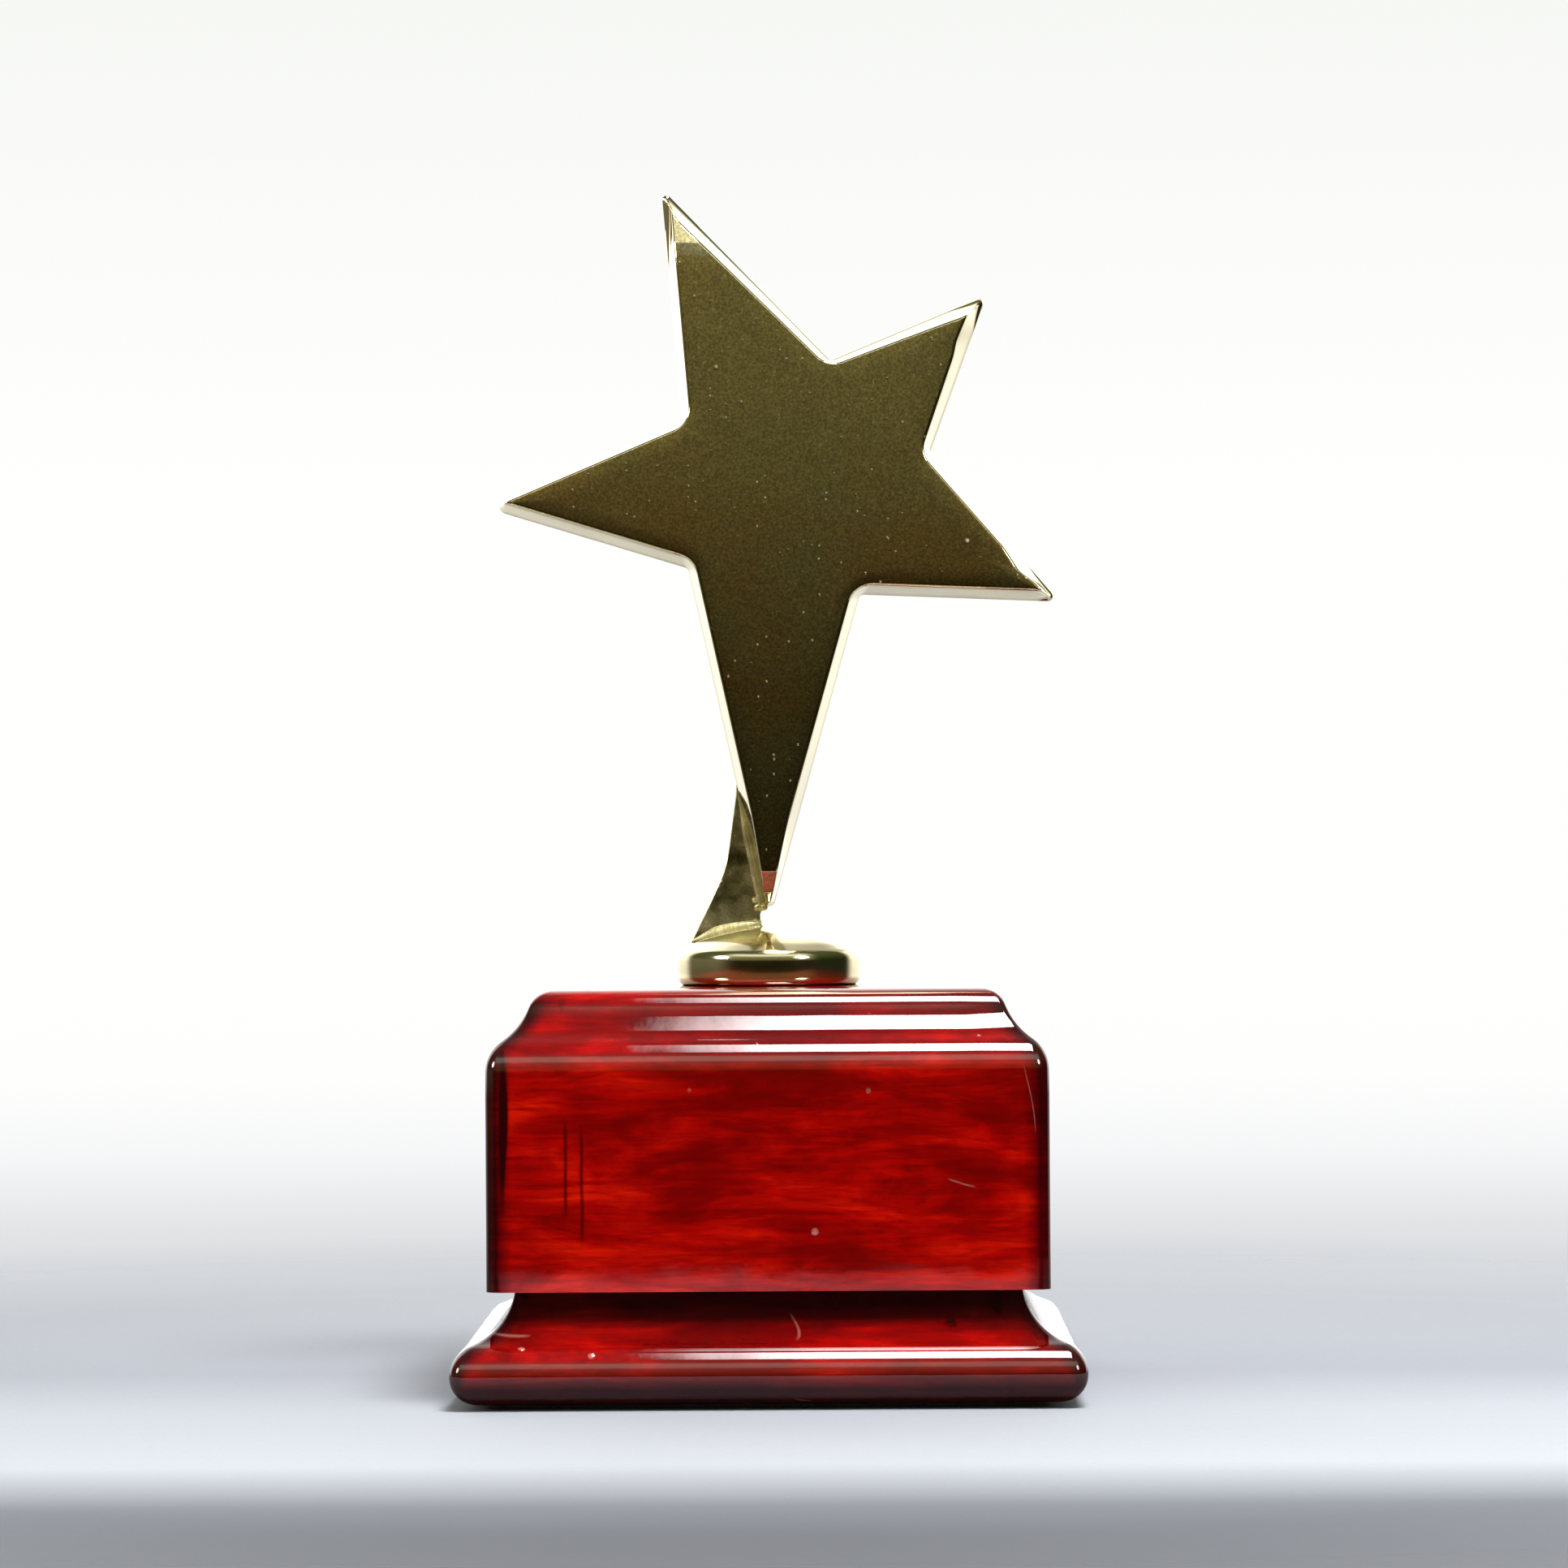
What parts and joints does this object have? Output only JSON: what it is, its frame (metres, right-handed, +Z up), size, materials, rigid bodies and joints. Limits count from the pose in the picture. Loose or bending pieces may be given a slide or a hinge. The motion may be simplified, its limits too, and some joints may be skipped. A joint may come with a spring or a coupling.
{
  "type": "star trophy",
  "caption": "Polished gold star on a curved blade stem and domed disc, bolted through a two-step red lacquered wooden base with moulded edges and a felt underside.",
  "frame": {"origin": "centre of the underside, on the surface that the trophy stands on", "axes": "+Z up, -Y towards the viewer in front of the star's polished face, +X to that viewer's right"},
  "size_m": [0.1, 0.1, 0.1953],
  "materials": {
    "gold_metal": "polished pale gold plate on a casting",
    "solder": "gold plated, slightly rough bead",
    "lacquered_veneer": "red rosewood grain under high gloss lacquer",
    "fibreboard": "raw sanded board",
    "dowel_wood": "raw beech",
    "zinc_steel": "bright zinc plate",
    "felt": "pressed felt"
  },
  "bodies": {
    "root": {"star_plate": "gold_metal", "stem_blade": "gold_metal", "star_solder_bead": "solder", "foot_solder_bead": "solder", "pedestal_disc": "gold_metal", "locating_pin": "zinc_steel", "mounting_stud": "zinc_steel", "block_top_board": "fibreboard", "block_middle_board": "fibreboard", "block_bottom_board": "fibreboard", "block_veneer": "lacquered_veneer", "plinth_board": "fibreboard", "plinth_veneer": "lacquered_veneer", "wood_dowels": "dowel_wood", "plinth_screws": "zinc_steel", "flat_washer": "zinc_steel", "spring_washer": "zinc_steel", "hex_nut": "zinc_steel", "felt_pad": "felt"}
  },
  "joints": []
}
